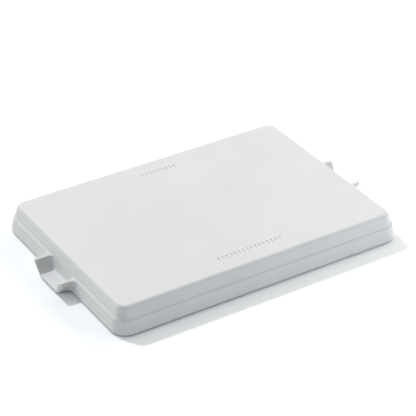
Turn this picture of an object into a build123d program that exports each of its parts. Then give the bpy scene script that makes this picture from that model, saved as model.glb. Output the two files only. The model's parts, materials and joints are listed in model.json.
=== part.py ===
from build123d import *
import os
from math import atan2, degrees

# Wet palette, closed, right way up: a deep cover over a shallow tray that holds a foam pad and a membrane
# sheet. Millimetres. Z = 0 is the surface it stands on, +X is the long direction, and the origin is under
# the centre of the object.

# ---- driving dimensions ----
rim_length = 201.0          # cover's lower rim, outside
rim_width = 143.0
rim_radius = 10.3           # corner radius of that rim, in plan
rim_gap = 0.75              # the rim hangs this far above the surface
band_height = 9.15          # lower, wider part of the side wall
band_draft = 1.6            # how far the band leans in over its height
ledge_height = 0.5          # the soft sloping ledge above it
ledge_draft = 0.95
wall_height = 7.8           # upper part of the side wall
wall_draft = 2.25
top_thickness = 1.8
side_thickness = 1.9

top_edge_radius = 2.6
ledge_edge_radius = 1.0
ledge_root_radius = 0.6
rim_edge_radius = 0.8

lug_bottom_reach = 8.15     # strap channel's reach beyond the rim's line, at the rim
lug_top_reach = 8.9         # and at the wing tops
lug_bottom_width = 23.0     # outside, at the rim
lug_top_width = 36.4        # outside, at the wing tops
lug_thickness = 2.35        # floor of the channel
lug_overlap = 3.0           # how far the lug's outline runs into the band
lug_root_land = 0.5         # straight bit of the band's line beyond the root fillets
wing_foot_width = 2.7       # wings, measured across at the channel's floor
wing_top_width = 3.9        # and at their tops
lug_root_radius = 4.0
lug_end_radius = 2.4        # upright outer corners of the lug
wing_drop = 0.2             # wing tops below the top of the ledge
wing_edge_radius = 1.0
channel_setback = 0.95      # channel's back wall at the rim, in from the rim's line
channel_headroom = 1.2      # how far the cut for the channel runs above the ledge
channel_overrun = 5.0       # and past the lug's end
channel_corner_radius = 3.0
channel_back_radius = 2.4
channel_edge_radius = 0.8

mark_inset = 13.6           # from the long edge of the top face to the middle of a mark
mark_bar_length = 3.2
mark_bar_width = 0.9
mark_depth = 0.3
near_mark_bars = 16
far_mark_bars = 9
mark_pitch = 2.9

tray_length = 182.8
tray_width = 124.8
tray_radius = 6.0
tray_bottom = 1.2           # underside of the tray above the surface
tray_floor = 2.0
tray_wall = 1.8
flange_height = 1.8         # out-turned base that fills the foot of the cover
flange_inset = 3.8          # from the rim's line
tray_floor_radius = 1.2

seal_top = 1.15             # seal above the tray's rim
seal_leg = 0.7              # thickness of each leg of its U section
seal_depth = 2.2            # how far the legs reach down the wall
seal_clearance = 0.05       # under the closed cover
seal_edge_radius = 0.5

cover_rib_thickness = 1.4   # locating rib under the cover, just inside the seal
cover_rib_height = 2.0
cover_rib_clearance = 0.5

foot_diameter = 10.0
foot_height = 2.0
foot_recess = 0.8
foot_spacing_x = 160.0
foot_spacing_y = 102.0
foot_edge_radius = 0.4

foam_thickness = 5.0
foam_margin = 1.5           # between the foam and the tray's wall
foam_radius = 3.0
layer_gap = 0.05            # between stacked layers
sheet_thickness = 0.3
sheet_margin = 2.2          # between the sheet and the tray's wall
foam_rib_reach = 1.1        # small ribs inside the tray that centre the foam
foam_rib_width = 2.0
foam_rib_height = 4.0
foam_rib_pitch = 56.0
foam_rib_root = 0.5         # how far the ribs run into the wall, and a little into the floor
foam_rib_sink = 0.2

pin_mark_diameter = 6.0     # round marks that the mould's ejector pins leave
pin_mark_depth = 0.15
tray_pin_pitch_x = 52.0
tray_pin_pitch_y = 78.0
cover_pin_pitch_x = 74.0
cover_pin_pitch_y = 88.0
gate_diameter = 9.0         # dimple round the point where the plastic came in
gate_depth = 0.4

near = 0.01                 # tolerance for choosing edges and faces by their place

# ---- derived levels and insets ----
band_top = rim_gap + band_height
ledge_top = band_top + ledge_height
cover_top = ledge_top + wall_height
cover_underside = cover_top - top_thickness
wall_inset = band_draft + ledge_draft
top_inset = wall_inset + wall_draft
top_width = rim_width - 2 * top_inset
wing_top = ledge_top - wing_drop
wing_lean = wall_inset - ledge_draft * wing_drop / ledge_height
tray_rim = cover_underside - seal_clearance - seal_top
tray_floor_top = tray_bottom + tray_floor

os.makedirs("parts", exist_ok=True)


def drafted_slab(base, inset, height, lean, mode=Mode.ADD):
    """A slab of the cover's rounded outline, `inset` from the rim's line at its base, leaning in by `lean`."""
    with BuildSketch(Plane.XY.offset(base)) as outline:
        RectangleRounded(rim_length - 2 * inset, rim_width - 2 * inset, rim_radius - inset)
    extrude(outline.sketch, amount=height, taper=degrees(atan2(lean, height)), mode=mode)


def mould_marks(level, pitch_x, pitch_y, into):
    """Sinks the gate's dimple and six ejector-pin marks into a face at this level; into is 1 for up."""
    with BuildSketch(Plane.XY.offset(level)) as gate:
        Circle(gate_diameter / 2)
    extrude(gate.sketch, amount=into * gate_depth, mode=Mode.SUBTRACT)
    with BuildSketch(Plane.XY.offset(level)) as pins:
        with GridLocations(pitch_x, pitch_y, 3, 2):
            Circle(pin_mark_diameter / 2)
    extrude(pins.sketch, amount=into * pin_mark_depth, mode=Mode.SUBTRACT)


# ---- cover: the strap lug of one end, before its channel is cut ----
def lug_outline(level, width, reach, lean):
    """Plan of a lug at one level: a tongue with rounded ends and flared roots that run into the band."""
    end = rim_length / 2 + reach
    face = rim_length / 2 - lean
    root = width / 2 + lug_root_radius + lug_root_land
    with BuildSketch(Plane.XY.offset(level)) as outline:
        with BuildLine():
            Polyline(
                (face - lug_overlap, -root), (face, -root), (face, -width / 2), (end, -width / 2),
                (end, width / 2), (face, width / 2), (face, root), (face - lug_overlap, root), close=True,
            )
        make_face()
        on_face = outline.vertices().filter_by(lambda v: abs(v.X - face) < near)
        fillet(on_face.filter_by(lambda v: abs(v.Y) < root - near), radius=lug_root_radius)
        fillet(outline.vertices().group_by(Axis.X)[-1], radius=lug_end_radius)
    return outline.sketch


with BuildPart() as lug:
    loft([
        lug_outline(rim_gap, lug_bottom_width, lug_bottom_reach, 0),
        lug_outline(wing_top, lug_top_width, lug_top_reach, wing_lean),
    ])
    wing_rim = lug.faces().sort_by(Axis.Z)[-1].edges()
    fillet(wing_rim.filter_by(lambda e: e.center().X > rim_length / 2 - wing_lean + near), radius=wing_edge_radius)

# ---- cover: the room inside both strap channels ----
splay = (lug_top_width - lug_bottom_width) / 2 / (wing_top - rim_gap)
channel_floor = rim_gap + lug_thickness
channel_height = ledge_top + channel_headroom - channel_floor
channel_bottom_half = lug_bottom_width / 2 + splay * lug_thickness - wing_foot_width
channel_splay = (lug_top_width / 2 - wing_top_width - channel_bottom_half) / (wing_top - channel_floor)
channel_top_half = channel_bottom_half + channel_splay * channel_height

with BuildPart() as channel_space:
    with BuildSketch(Plane.YZ) as channel_section:
        with BuildLine():
            Polyline(
                (-channel_bottom_half, channel_floor), (channel_bottom_half, channel_floor),
                (channel_top_half, channel_floor + channel_height),
                (-channel_top_half, channel_floor + channel_height), close=True,
            )
        make_face()
        fillet(channel_section.vertices().group_by(Axis.Y)[0], radius=channel_corner_radius)
    extrude(amount=rim_length / 2 + lug_top_reach + channel_overrun, both=True)
    # its back wall leans in evenly and meets the foot of the upper wall at the ledge
    back_height = band_height + ledge_height + channel_headroom
    back_lean = (wall_inset - channel_setback) * back_height / (band_height + ledge_height)
    drafted_slab(rim_gap, channel_setback, back_height, back_lean, Mode.SUBTRACT)
    back_edges = channel_space.edges().filter_by(lambda e: abs(e.center().X) < rim_length / 2)
    fillet(back_edges.filter_by(lambda e: e.center().Z < ledge_top), radius=channel_back_radius)


def borders_channel(edge):
    """True for an edge where a strap channel breaks out at the lug's end or along the tops of its wings."""
    middle = edge.center()
    half_width = channel_bottom_half + channel_splay * (middle.Z - channel_floor)
    inside = abs(middle.Y) < half_width + near and middle.Z > channel_floor - near
    at_end = abs(middle.X) > rim_length / 2 + lug_bottom_reach
    on_wing = abs(middle.X) > rim_length / 2 and middle.Z > wing_top - near
    return inside and (at_end or on_wing)


# ---- cover: the whole moulding ----
with BuildPart() as cover:
    drafted_slab(rim_gap, 0, band_height, band_draft)
    drafted_slab(band_top, band_draft, ledge_height, ledge_draft)
    drafted_slab(ledge_top, wall_inset, wall_height, wall_draft)
    flat_edges = cover.edges().filter_by(lambda e: e.bounding_box().size.Z < near)
    levels = flat_edges.group_by(Axis.Z)
    fillet(levels[-1], radius=top_edge_radius)
    for level, radius in ((ledge_top, ledge_root_radius), (band_top, ledge_edge_radius)):
        ring = cover.edges().filter_by_position(Axis.Z, level - near, level + near)
        fillet(ring.filter_by(lambda e: e.bounding_box().size.Z < near), radius=radius)
    add(lug.part)
    add(lug.part.rotate(Axis.Z, 180))
    fillet(cover.faces().sort_by(Axis.Z)[0].edges(), radius=rim_edge_radius)
    add(channel_space.part, mode=Mode.SUBTRACT)
    channel_rim = cover.edges().filter_by(borders_channel)
    fillet(channel_rim, radius=channel_edge_radius)

    # hollow underneath, with a locating rib that drops just inside the seal
    cavity_foot_inset = channel_setback + side_thickness
    cavity_ledge_inset = wall_inset + side_thickness
    cavity_height = cover_underside - ledge_top
    drafted_slab(
        rim_gap, cavity_foot_inset, band_height + ledge_height, cavity_ledge_inset - cavity_foot_inset,
        Mode.SUBTRACT,
    )
    drafted_slab(
        ledge_top, cavity_ledge_inset, cavity_height, wall_draft * cavity_height / wall_height, Mode.SUBTRACT,
    )
    rib_margin = tray_wall + seal_leg + cover_rib_clearance
    rib_length = tray_length - 2 * rib_margin
    rib_width = tray_width - 2 * rib_margin
    rib_radius = tray_radius - rib_margin
    with BuildSketch(Plane.XY.offset(cover_underside - cover_rib_height)):
        RectangleRounded(rib_length, rib_width, rib_radius)
        RectangleRounded(
            rib_length - 2 * cover_rib_thickness, rib_width - 2 * cover_rib_thickness,
            rib_radius - cover_rib_thickness, mode=Mode.SUBTRACT,
        )
    extrude(amount=cover_rib_height)
    mould_marks(cover_underside, cover_pin_pitch_x, cover_pin_pitch_y, 1)

    # plain moulded marks: a long row of short bars near the near edge, a shorter row near the far edge
    mark_y = top_width / 2 - mark_inset
    with BuildSketch(Plane.XY.offset(cover_top)):
        with Locations((0, -mark_y)):
            with GridLocations(mark_pitch, 0, near_mark_bars, 1):
                SlotOverall(mark_bar_length, mark_bar_width, rotation=90)
        with Locations((0, mark_y)):
            with GridLocations(mark_pitch, 0, far_mark_bars, 1):
                SlotOverall(mark_bar_length, mark_bar_width, rotation=90)
    extrude(amount=-mark_depth, mode=Mode.SUBTRACT)
cover.part.label = "cover"
export_step(cover.part, "parts/cover.step")

# ---- base tray ----
foot_places = [
    (x, y) for x in (-foot_spacing_x / 2, foot_spacing_x / 2) for y in (-foot_spacing_y / 2, foot_spacing_y / 2)
]

with BuildPart() as base_tray:
    with BuildSketch(Plane.XY.offset(tray_bottom)):
        RectangleRounded(rim_length - 2 * flange_inset, rim_width - 2 * flange_inset, rim_radius - flange_inset)
    extrude(amount=flange_height)
    with BuildSketch(Plane.XY.offset(tray_bottom)):
        RectangleRounded(tray_length, tray_width, tray_radius)
    extrude(amount=tray_rim - tray_bottom)
    with BuildSketch(Plane.XY.offset(tray_floor_top)):
        RectangleRounded(tray_length - 2 * tray_wall, tray_width - 2 * tray_wall, tray_radius - tray_wall)
    extrude(amount=tray_rim - tray_floor_top, mode=Mode.SUBTRACT)
    floor_edges = base_tray.edges().filter_by_position(Axis.Z, tray_floor_top - near, tray_floor_top + near)
    fillet(floor_edges, radius=tray_floor_radius)
    with BuildSketch(Plane.XY.offset(tray_bottom)):
        with Locations(*foot_places):
            Circle(foot_diameter / 2)
    extrude(amount=foot_recess, mode=Mode.SUBTRACT)
    mould_marks(tray_bottom, tray_pin_pitch_x, tray_pin_pitch_y, 1)
    # short ribs up the inside of the walls centre the foam
    inner_length = tray_length - 2 * tray_wall
    inner_width = tray_width - 2 * tray_wall
    rib_depth = foam_rib_reach + foam_rib_root
    with BuildSketch(Plane.XY.offset(tray_floor_top - foam_rib_sink)):
        with GridLocations(foam_rib_pitch, inner_width + 2 * (rib_depth / 2 - foam_rib_reach), 3, 2):
            Rectangle(foam_rib_width, rib_depth)
        with GridLocations(inner_length + 2 * (rib_depth / 2 - foam_rib_reach), foam_rib_pitch, 2, 2):
            Rectangle(rib_depth, foam_rib_width)
    extrude(amount=foam_rib_height + foam_rib_sink)
base_tray.part.label = "base_tray"
export_step(base_tray.part, "parts/base_tray.step")

# ---- silicone seal: a U section pushed down over the tray's rim ----
with BuildPart() as tray_seal:
    with BuildSketch(Plane.XY.offset(tray_rim - seal_depth)):
        RectangleRounded(tray_length + 2 * seal_leg, tray_width + 2 * seal_leg, tray_radius + seal_leg)
        inner_step = tray_wall + seal_leg
        RectangleRounded(
            tray_length - 2 * inner_step, tray_width - 2 * inner_step, tray_radius - inner_step,
            mode=Mode.SUBTRACT,
        )
    extrude(amount=seal_depth + seal_top)
    fillet(tray_seal.edges().group_by(Axis.Z)[-1], radius=seal_edge_radius)
    with BuildSketch(Plane.XY.offset(tray_rim - seal_depth)):
        RectangleRounded(tray_length, tray_width, tray_radius)
        RectangleRounded(
            tray_length - 2 * tray_wall, tray_width - 2 * tray_wall, tray_radius - tray_wall,
            mode=Mode.SUBTRACT,
        )
    extrude(amount=seal_depth, mode=Mode.SUBTRACT)
tray_seal.part.label = "tray_seal"
export_step(tray_seal.part, "parts/tray_seal.step")

# ---- rubber feet ----
for number, (x, y) in enumerate(foot_places, start=1):
    with BuildPart() as foot:
        with BuildSketch():
            with Locations((x, y)):
                Circle(foot_diameter / 2)
        extrude(amount=foot_height)
        fillet(foot.edges().group_by(Axis.Z)[0], radius=foot_edge_radius)
    foot.part.label = f"foot_{number}"
    export_step(foot.part, f"parts/foot_{number}.step")

# ---- foam pad ----
foam_bottom = tray_floor_top + layer_gap
foam_top = foam_bottom + foam_thickness
with BuildPart() as hydration_foam:
    with BuildSketch(Plane.XY.offset(foam_bottom)):
        RectangleRounded(inner_length - 2 * foam_margin, inner_width - 2 * foam_margin, foam_radius)
    extrude(amount=foam_thickness)
hydration_foam.part.label = "hydration_foam"
export_step(hydration_foam.part, "parts/hydration_foam.step")

# ---- membrane sheet ----
with BuildPart() as membrane_sheet:
    with BuildSketch(Plane.XY.offset(foam_top + layer_gap)):
        RectangleRounded(inner_length - 2 * sheet_margin, inner_width - 2 * sheet_margin, foam_radius)
    extrude(amount=sheet_thickness)
membrane_sheet.part.label = "membrane_sheet"
export_step(membrane_sheet.part, "parts/membrane_sheet.step")
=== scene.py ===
import json
import math

import bpy
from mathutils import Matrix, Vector, noise


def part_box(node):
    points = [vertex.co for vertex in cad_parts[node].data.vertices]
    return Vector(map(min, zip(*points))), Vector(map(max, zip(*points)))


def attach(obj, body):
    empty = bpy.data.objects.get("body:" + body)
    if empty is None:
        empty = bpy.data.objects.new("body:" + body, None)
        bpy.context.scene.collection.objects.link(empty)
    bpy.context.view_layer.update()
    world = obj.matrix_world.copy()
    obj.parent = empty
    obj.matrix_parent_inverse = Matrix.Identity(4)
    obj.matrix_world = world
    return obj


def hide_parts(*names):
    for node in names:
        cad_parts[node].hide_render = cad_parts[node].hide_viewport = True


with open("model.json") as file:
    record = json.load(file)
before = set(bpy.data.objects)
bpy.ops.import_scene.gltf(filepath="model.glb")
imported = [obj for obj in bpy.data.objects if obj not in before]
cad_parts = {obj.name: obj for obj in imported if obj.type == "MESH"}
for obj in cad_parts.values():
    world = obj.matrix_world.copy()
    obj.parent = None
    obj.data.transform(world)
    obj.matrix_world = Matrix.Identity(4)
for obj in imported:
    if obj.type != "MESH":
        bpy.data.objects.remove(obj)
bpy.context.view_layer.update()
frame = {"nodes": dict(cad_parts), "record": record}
nodes = frame["nodes"]
MM = 0.001

# ---- camera: a long lens looking down on the closed palette from its left front corner ----
CAMERA_AZIMUTH = math.radians(-32.16)
CAMERA_ELEVATION = math.radians(32.11)
CAMERA_DISTANCE = 1.102
CAMERA_LENS = 154.3
AIM_TO_THE_RIGHT = 0.0035        # the aim passes this far right of the middle of the cover's top

cover_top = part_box("cover")[1].z
camera_right = Vector((math.cos(CAMERA_AZIMUTH), math.sin(CAMERA_AZIMUTH), 0))
camera_back = Vector((
    math.sin(CAMERA_AZIMUTH) * math.cos(CAMERA_ELEVATION),
    -math.cos(CAMERA_AZIMUTH) * math.cos(CAMERA_ELEVATION),
    math.sin(CAMERA_ELEVATION),
))
aim = Vector((0, 0, cover_top)) + camera_right * AIM_TO_THE_RIGHT
camera_data = bpy.data.cameras.new("camera")
camera_data.lens = CAMERA_LENS
camera = bpy.data.objects.new("camera", camera_data)
camera.location = aim + camera_back * CAMERA_DISTANCE
camera.rotation_euler = camera_back.to_track_quat("Z", "Y").to_euler()
bpy.context.scene.collection.objects.link(camera)
bpy.context.scene.camera = camera


# ---- small helpers for node trees ----
def add_node(tree, kind, **settings):
    """A new node with these attributes set."""
    node = tree.nodes.new(kind)
    for key, value in settings.items():
        setattr(node, key, value)
    return node


def new_material(name, roughness, ior=1.46, specular=0.5):
    """A material with one Principled shader: (material, tree, shader)."""
    material = bpy.data.materials.new(name)
    material.use_nodes = True
    shader = material.node_tree.nodes["Principled BSDF"]
    shader.inputs["Roughness"].default_value = roughness
    shader.inputs["IOR"].default_value = ior
    shader.inputs["Specular IOR Level"].default_value = specular
    return material, material.node_tree, shader


def noise_field(tree, size, detail=2.0, roughness=0.5, stretch=(1, 1, 1)):
    """The value of a 3-D noise whose blotches are about `size` metres across, fixed to the object."""
    place = add_node(tree, "ShaderNodeTexCoord")
    mapping = add_node(tree, "ShaderNodeMapping")
    mapping.inputs["Scale"].default_value = [1 / (size * s) for s in stretch]
    field = add_node(tree, "ShaderNodeTexNoise")
    field.inputs["Scale"].default_value = 1.0
    field.inputs["Detail"].default_value = detail
    field.inputs["Roughness"].default_value = roughness
    tree.links.new(place.outputs["Object"], mapping.inputs["Vector"])
    tree.links.new(mapping.outputs["Vector"], field.inputs["Vector"])
    return field.outputs["Fac"]


def blend_colours(tree, value, stops):
    """A colour that follows value through stops, a list of (position, colour)."""
    ramp = add_node(tree, "ShaderNodeValToRGB")
    while len(ramp.color_ramp.elements) < len(stops):
        ramp.color_ramp.elements.new(0.5)
    for element, (position, colour) in zip(ramp.color_ramp.elements, stops):
        element.position = position
        element.color = (*colour, 1)
    tree.links.new(value, ramp.inputs["Fac"])
    return ramp.outputs["Color"]


def multiply_colours(tree, first, second):
    """The product of two colours."""
    mix = add_node(tree, "ShaderNodeMix", data_type="RGBA", blend_type="MULTIPLY")
    mix.inputs["Factor"].default_value = 1.0
    tree.links.new(first, mix.inputs["A"])
    tree.links.new(second, mix.inputs["B"])
    return mix.outputs["Result"]


def spread(tree, value, low, high, to_low, to_high):
    """value mapped from low-high to to_low-to_high."""
    node = add_node(tree, "ShaderNodeMapRange")
    for socket, number in (("From Min", low), ("From Max", high), ("To Min", to_low), ("To Max", to_high)):
        node.inputs[socket].default_value = number
    tree.links.new(value, node.inputs["Value"])
    return node.outputs["Result"]


def add_bump(tree, shader, *layers):
    """Stacks bump layers, each (height, distance in metres, strength), under the shader's normal."""
    normal = None
    for height, distance, strength in layers:
        bump = add_node(tree, "ShaderNodeBump")
        bump.inputs["Strength"].default_value = strength
        bump.inputs["Distance"].default_value = distance
        tree.links.new(height, bump.inputs["Height"])
        if normal is not None:
            tree.links.new(normal, bump.inputs["Normal"])
        normal = bump.outputs["Normal"]
    tree.links.new(normal, shader.inputs["Normal"])


# ---- light and floor ----
FLOOR_SIZE = 8.0
FLOOR_DROP = 0.1 * MM            # keeps it clear of the feet that stand on it
FLOOR_WHITE = (0.94, 0.94, 0.94, 1)
floor_material, _, floor_shader = new_material("floor_white", 0.9, specular=0.2)
floor_shader.inputs["Base Color"].default_value = FLOOR_WHITE
bpy.ops.mesh.primitive_plane_add(size=FLOOR_SIZE, location=(0, 0, -FLOOR_DROP))
floor = bpy.context.object
floor.name = "floor"
floor.data.materials.append(floor_material)

COOL = (0.905, 1.0, 1.1)
PALE = (0.95, 0.98, 1.05)
WARM = (1.07, 1.045, 0.91)
SKY_LOBES = (                    # direction the light comes from, strength, tint
    ((0, 0, 1), 0.46, PALE),
    ((0, 1, 0.35), 1.15, WARM),
)


def light_world():
    """A soft studio dome: broad lobes of light that fade with the square of the cosine."""
    world = bpy.data.worlds.new("studio")
    bpy.context.scene.world = world
    world.use_nodes = True
    tree = world.node_tree
    direction = add_node(tree, "ShaderNodeTexCoord").outputs["Generated"]
    total = None
    for axis, strength, tint in SKY_LOBES:
        cosine = add_node(tree, "ShaderNodeVectorMath", operation="DOT_PRODUCT")
        cosine.inputs[1].default_value = Vector(axis).normalized()
        tree.links.new(direction, cosine.inputs[0])
        facing = add_node(tree, "ShaderNodeMath", operation="MAXIMUM")
        facing.inputs[1].default_value = 0.0
        tree.links.new(cosine.outputs["Value"], facing.inputs[0])
        squared = add_node(tree, "ShaderNodeMath", operation="POWER")
        squared.inputs[1].default_value = 2.0
        tree.links.new(facing.outputs["Value"], squared.inputs[0])
        lobe = add_node(tree, "ShaderNodeVectorMath", operation="SCALE")
        lobe.inputs[0].default_value = Vector(tint) * strength
        tree.links.new(squared.outputs["Value"], lobe.inputs["Scale"])
        if total is None:
            total = lobe.outputs["Vector"]
        else:
            both = add_node(tree, "ShaderNodeVectorMath", operation="ADD")
            tree.links.new(total, both.inputs[0])
            tree.links.new(lobe.outputs["Vector"], both.inputs[1])
            total = both.outputs["Vector"]
    tree.links.new(total, tree.nodes["Background"].inputs["Color"])


def add_lamp(name, place, energy, tint, radius, mirrored=False):
    """A soft round lamp at place, never seen itself, and seen in glossy surfaces only if mirrored."""
    data = bpy.data.lights.new(name, "POINT")
    data.energy = energy
    data.color = tint
    data.shadow_soft_size = radius
    lamp = bpy.data.objects.new(name, data)
    lamp.location = place
    lamp.visible_camera = False
    lamp.visible_glossy = mirrored
    bpy.context.scene.collection.objects.link(lamp)


light_world()
add_lamp("key", (-0.26, 1.36, 1.52), 88, PALE, 0.065, mirrored=True)
add_lamp("fill_front", (0.35, -0.45, 0.16), 5.3, COOL, 0.12)
add_lamp("fill_right", (0.7, 0.05, 0.5), 9.7, WARM, 0.2)
add_lamp("fill_left", (-0.6, -0.1, 0.3), 2.8, COOL, 0.2)
bpy.context.scene.view_settings.view_transform = "Standard"


# ---- materials ----
GLOSS_CHANGE = 0.02              # how far the moulded plastic's roughness wanders either way


def moulded_plastic(name, base, roughness):
    """Satin white moulding: slow drift of tone, patchy gloss, and a fine spark-eroded grain."""
    material, tree, shader = new_material(name, roughness)
    drift = noise_field(tree, 45 * MM, detail=3.0)
    light = tuple(c * 1.012 for c in base)
    dark = tuple(c * k for c, k in zip(base, (0.985, 0.985, 0.98)))
    colour = blend_colours(tree, drift, [(0.35, dark), (0.65, light)])
    tree.links.new(colour, shader.inputs["Base Color"])
    cloud = noise_field(tree, 9 * MM, detail=4.0, roughness=0.6)
    gloss = spread(tree, cloud, 0.3, 0.7, roughness - GLOSS_CHANGE, roughness + GLOSS_CHANGE)
    tree.links.new(gloss, shader.inputs["Roughness"])
    grain = noise_field(tree, 0.35 * MM, detail=1.0)
    add_bump(tree, shader, (grain, 0.008 * MM, 0.5))
    return material


def silicone(name):
    """Soft grey silicone: even colour with a slight bloom, and a satin skin with fine dust in it."""
    material, tree, shader = new_material(name, 0.42, ior=1.41)
    bloom = noise_field(tree, 12 * MM, detail=4.0, roughness=0.6)
    colour = blend_colours(tree, bloom, [(0.3, (0.36, 0.38, 0.39)), (0.7, (0.45, 0.465, 0.475))])
    tree.links.new(colour, shader.inputs["Base Color"])
    dust = noise_field(tree, 1.2 * MM, detail=3.0, roughness=0.7)
    tree.links.new(spread(tree, dust, 0.35, 0.7, 0.36, 0.58), shader.inputs["Roughness"])
    add_bump(tree, shader, (dust, 0.02 * MM, 0.6))
    return material


def rubber(name):
    """Dark matte rubber with a fine pebble and greyer, scuffed patches."""
    material, tree, shader = new_material(name, 0.75, ior=1.5)
    scuff = noise_field(tree, 4 * MM, detail=5.0, roughness=0.65)
    colour = blend_colours(tree, scuff, [(0.35, (0.045, 0.045, 0.047)), (0.7, (0.11, 0.108, 0.105))])
    tree.links.new(colour, shader.inputs["Base Color"])
    tree.links.new(spread(tree, scuff, 0.3, 0.7, 0.66, 0.88), shader.inputs["Roughness"])
    pebble = noise_field(tree, 0.4 * MM, detail=2.0)
    add_bump(tree, shader, (pebble, 0.06 * MM, 0.8))
    return material


def cellulose_foam(name):
    """Damp yellow cellulose: painted shade darkens it towards the middle of each pore, and it is glossier
    where water stands on it.
    """
    material, tree, shader = new_material(name, 0.6, ior=1.36)
    place = add_node(tree, "ShaderNodeTexCoord")
    pores = add_node(tree, "ShaderNodeTexVoronoi", feature="F1")
    pores.inputs["Scale"].default_value = 1 / (1.6 * MM)
    tree.links.new(place.outputs["Object"], pores.inputs["Vector"])
    pore_depth_and_shade = pores.outputs["Distance"]
    # painted shade: the colour turns dark brown towards each pore's middle, where shade falls into the pore;
    # the same pore field also sinks the pores as bump
    colour = blend_colours(tree, pore_depth_and_shade, [
        (0.08, (0.45, 0.33, 0.1)), (0.3, (0.78, 0.62, 0.25)), (0.6, (0.88, 0.74, 0.36)),
    ])
    tone = noise_field(tree, 22 * MM, detail=4.0, roughness=0.6)
    tint = blend_colours(tree, tone, [(0.3, (0.9, 0.86, 0.78)), (0.7, (1.0, 1.0, 1.0))])
    tree.links.new(multiply_colours(tree, colour, tint), shader.inputs["Base Color"])
    tree.links.new(spread(tree, tone, 0.35, 0.65, 0.72, 0.45), shader.inputs["Roughness"])
    fibre = noise_field(tree, 0.3 * MM, detail=3.0, roughness=0.65)
    add_bump(tree, shader, (pore_depth_and_shade, 0.35 * MM, 0.9), (fibre, 0.05 * MM, 0.6))
    return material


def membrane_paper(name):
    """Parchment-like paper, warm white, with long faint fibres and damp, slightly yellow patches."""
    material, tree, shader = new_material(name, 0.55, ior=1.45)
    damp = noise_field(tree, 30 * MM, detail=4.0, roughness=0.55)
    colour = blend_colours(tree, damp, [(0.38, (0.74, 0.68, 0.53)), (0.62, (0.83, 0.8, 0.72))])
    fibres = noise_field(tree, 0.5 * MM, detail=3.0, roughness=0.6, stretch=(9, 1, 1))
    streaks = blend_colours(tree, fibres, [(0.3, (0.94, 0.94, 0.93)), (0.6, (1.0, 1.0, 1.0))])
    tree.links.new(multiply_colours(tree, colour, streaks), shader.inputs["Base Color"])
    tree.links.new(spread(tree, damp, 0.38, 0.62, 0.4, 0.66), shader.inputs["Roughness"])
    cockle = noise_field(tree, 7 * MM, detail=2.0)
    add_bump(tree, shader, (cockle, 0.25 * MM, 0.4), (fibres, 0.02 * MM, 0.5))
    return material


COVER_WHITE = (0.634, 0.63, 0.624)
TRAY_WHITE = (0.66, 0.657, 0.648)
finishes = {
    "cover_plastic": moulded_plastic("cover_plastic", COVER_WHITE, 0.5),
    "tray_plastic": moulded_plastic("tray_plastic", TRAY_WHITE, 0.46),
    "seal_silicone": silicone("seal_silicone"),
    "foot_rubber": rubber("foot_rubber"),
    "foam": cellulose_foam("foam"),
    "membrane_paper": membrane_paper("membrane_paper"),
}
for subpart in frame["record"]["subparts"]:
    mesh = nodes[subpart["node"]].data
    mesh.materials.clear()
    mesh.materials.append(finishes[subpart["material_slot"]])


# ---- soft pieces ----
def even_steps(low, high, step):
    """Evenly spaced numbers from low to high, about step apart."""
    count = max(1, round((high - low) / step))
    return [low + (high - low) * i / count for i in range(count + 1)]


def round_plan(x, y, half_x, half_y, radius):
    """A point of a rectangle moved so that the rectangle gets round corners: (x, y, distance to the rim)."""
    core_x = max(-half_x + radius, min(half_x - radius, x))
    core_y = max(-half_y + radius, min(half_y - radius, y))
    dx = x - core_x
    dy = y - core_y
    square = max(abs(dx), abs(dy))
    length = math.hypot(dx, dy)
    if length > 0:
        dx *= square / length
        dy *= square / length
    to_rim = radius - square
    if square == 0:
        to_rim = min(half_x - abs(x), half_y - abs(y))
    return core_x + dx, core_y + dy, to_rim


def smooth(value):
    """0 to 1 with level ends, for value from 0 to 1."""
    t = max(0.0, min(1.0, value))
    return t * t * (3 - 2 * t)


FOAM_STEP = 1.05 * MM
FOAM_LEVELS = (0, 0.33, 0.67, 1)    # heights of the mesh's rows up the pad's sides
FOAM_CORNER = 3.0 * MM
FOAM_SOFT_EDGE = 1.3 * MM
FOAM_SWELL = 0.35 * MM           # how much lower the pad's rim is than its middle
FOAM_SWELL_REACH = 22 * MM
PORE_CELL = 3.1 * MM
PORE_DEPTH = 0.75 * MM
PORE_SIZE = 0.34                 # usual radius of a pore, and how much it varies, in cells
PORE_SIZE_CHANGE = 0.22
PORE_SIZE_DRIFT = 2.6            # how many cells it takes to vary
SIDE_PORE_SHARE = 0.6            # depth of the pores in the pad's sides against those in its faces
EDGE_ANGLES = (0, 22, 45, 68)    # degrees round the soft edge at which the mesh has a row

foam_low, foam_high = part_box("hydration_foam")
foam_middle = (foam_low + foam_high) / 2
foam_half = (foam_high - foam_low) / 2


def soft_edge(to_rim):
    """How far the pad's rounded edge has turned away from its face, by the distance to its rim."""
    turn = max(0.0, 1 - to_rim / FOAM_SOFT_EDGE)
    return FOAM_SOFT_EDGE * (1 - math.sqrt(max(0.0, 1 - turn * turn)))


def foam_crown(to_rim):
    """Depth of the pad's smooth upper face below its highest level, by the distance to its rim."""
    swell = FOAM_SWELL * (1 - smooth(to_rim / FOAM_SWELL_REACH))
    return swell + soft_edge(to_rim)


def pore(point):
    """Depth of the pores at a point of the foam: round dents of mixed size where random centres lie near."""
    distances, _ = noise.voronoi(point / PORE_CELL)
    size = PORE_SIZE + PORE_SIZE_CHANGE * noise.noise(point / (PORE_SIZE_DRIFT * PORE_CELL))
    return PORE_DEPTH * smooth(1 - distances[0] / size)


def edge_steps(half, step):
    """Steps over -half to half that get closer near the ends, where the pad's edge turns down."""
    inner = half - FOAM_SOFT_EDGE
    rows = [half - FOAM_SOFT_EDGE * (1 - math.cos(math.radians(a))) for a in EDGE_ANGLES]
    return [-r for r in rows] + even_steps(-inner, inner, step) + rows[::-1]


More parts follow.
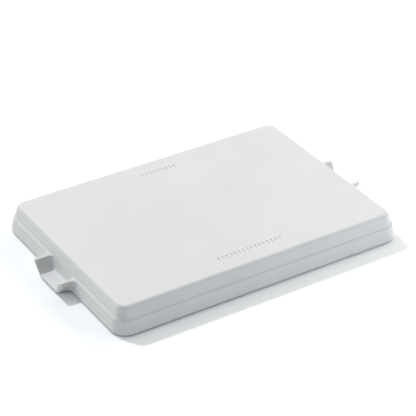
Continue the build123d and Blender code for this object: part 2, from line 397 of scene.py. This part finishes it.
def grid_shell(name, xs, ys, levels, place):
    """A closed box shell of quads: its upper and lower faces over the grid xs, ys, and its sides over levels.

    place(x, y, level) gives each point, with level from 0 at the bottom to 1 at the top.
    """
    points = []
    index = {}

    def point(i, j, k):
        if (i, j, k) not in index:
            index[i, j, k] = len(points)
            points.append(place(xs[i], ys[j], levels[k]))
        return index[i, j, k]

    last_i = len(xs) - 1
    last_j = len(ys) - 1
    last_k = len(levels) - 1
    faces = []
    for i in range(last_i):
        for j in range(last_j):
            faces.append([point(i, j, last_k), point(i + 1, j, last_k), point(i + 1, j + 1, last_k),
                          point(i, j + 1, last_k)])
            faces.append([point(i, j + 1, 0), point(i + 1, j + 1, 0), point(i + 1, j, 0), point(i, j, 0)])
    for k in range(last_k):
        for i in range(last_i):
            faces.append([point(i, 0, k), point(i + 1, 0, k), point(i + 1, 0, k + 1), point(i, 0, k + 1)])
            faces.append([point(i + 1, last_j, k), point(i, last_j, k), point(i, last_j, k + 1),
                          point(i + 1, last_j, k + 1)])
        for j in range(last_j):
            faces.append([point(0, j + 1, k), point(0, j, k), point(0, j, k + 1), point(0, j + 1, k + 1)])
            faces.append([point(last_i, j, k), point(last_i, j + 1, k), point(last_i, j + 1, k + 1),
                          point(last_i, j, k + 1)])
    mesh = bpy.data.meshes.new(name)
    mesh.from_pydata(points, [], faces)
    mesh.shade_smooth()
    piece = bpy.data.objects.new(name, mesh)
    bpy.context.scene.collection.objects.link(piece)
    return piece


def foam_point(x, y, level):
    """A point of the foam pad's skin: rounded outline, soft edges, and pores sunk into it."""
    px, py, to_rim = round_plan(x, y, foam_half.x, foam_half.y, FOAM_CORNER)
    upper = foam_half.z - foam_crown(to_rim)
    lower = -foam_half.z + soft_edge(to_rim)
    point = foam_middle + Vector((px, py, lower + (upper - lower) * level))
    depth = pore(point)
    if to_rim < FOAM_SOFT_EDGE and 0 < level < 1:
        outward = Vector((px / foam_half.x, py / foam_half.y, 0)).normalized()
        return point - outward * depth * SIDE_PORE_SHARE
    inward = -1 if level == 1 else 1
    return point + Vector((0, 0, inward * depth))


foam_pad = grid_shell(
    "foam_pad",
    edge_steps(foam_half.x, FOAM_STEP),
    edge_steps(foam_half.y, FOAM_STEP),
    FOAM_LEVELS,
    foam_point,
)
foam_pad.data.materials.append(finishes["foam"])
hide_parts("hydration_foam")
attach(foam_pad, "foam")


SHEET_STEP = 1.6 * MM
SHEET_THICKNESS = 0.1 * MM
SHEET_CORNER = 3.0 * MM
SHEET_CLEARANCE = 0.05 * MM
SHEET_COCKLE = 0.5 * MM          # height of the paper's loose waves
SHEET_COCKLE_LEVEL = 0.45        # usual height of the waves, and what each kind adds, as shares of it
BROAD_SHARE = 0.7
NARROW_SHARE = 0.25
SHEET_CURL = 0.5 * MM            # how far its rim lifts
SHEET_CURL_REACH = 9 * MM
SHEET_LEVELS = (0, 1)
BROAD_WAVE = (45 * MM, 30 * MM)  # size of the waves along the sheet and across it
NARROW_WAVE = (16 * MM, 12 * MM)
CURL_WAVE = (50 * MM, 50 * MM)
BROAD_SEED = 3.7
NARROW_SEED = 9.1
CURL_SEED = 0.0

sheet_low, sheet_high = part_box("membrane_sheet")
sheet_half = (sheet_high - sheet_low) / 2


def wave(x, y, size, seed):
    """A smooth random value at x, y whose waves have this size; another seed gives other waves."""
    return noise.noise(Vector((x / size[0], y / size[1], seed)))


def sheet_point(x, y, level):
    """A point of the paper: it lies on the foam's crown, cockled by damp, and its rim lifts a little."""
    px, py, to_rim = round_plan(x, y, sheet_half.x, sheet_half.y, SHEET_CORNER)
    foam_rim = to_rim + foam_half.x - sheet_half.x
    resting = foam_high.z - foam_crown(foam_rim) + SHEET_CLEARANCE
    broad = BROAD_SHARE * wave(px, py, BROAD_WAVE, BROAD_SEED)
    narrow = NARROW_SHARE * wave(px, py, NARROW_WAVE, NARROW_SEED)
    cockle = SHEET_COCKLE * smooth(SHEET_COCKLE_LEVEL + broad + narrow)
    at_rim = smooth(1 - to_rim / SHEET_CURL_REACH)
    curl = SHEET_CURL * at_rim * smooth(0.5 + wave(px, py, CURL_WAVE, CURL_SEED))
    return Vector((px, py, resting + cockle + curl + SHEET_THICKNESS * level))


mixing_paper = grid_shell(
    "mixing_paper",
    even_steps(-sheet_half.x, sheet_half.x, SHEET_STEP),
    even_steps(-sheet_half.y, sheet_half.y, SHEET_STEP),
    SHEET_LEVELS,
    sheet_point,
)
mixing_paper.data.materials.append(finishes["membrane_paper"])
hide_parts("membrane_sheet")
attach(mixing_paper, "sheet")
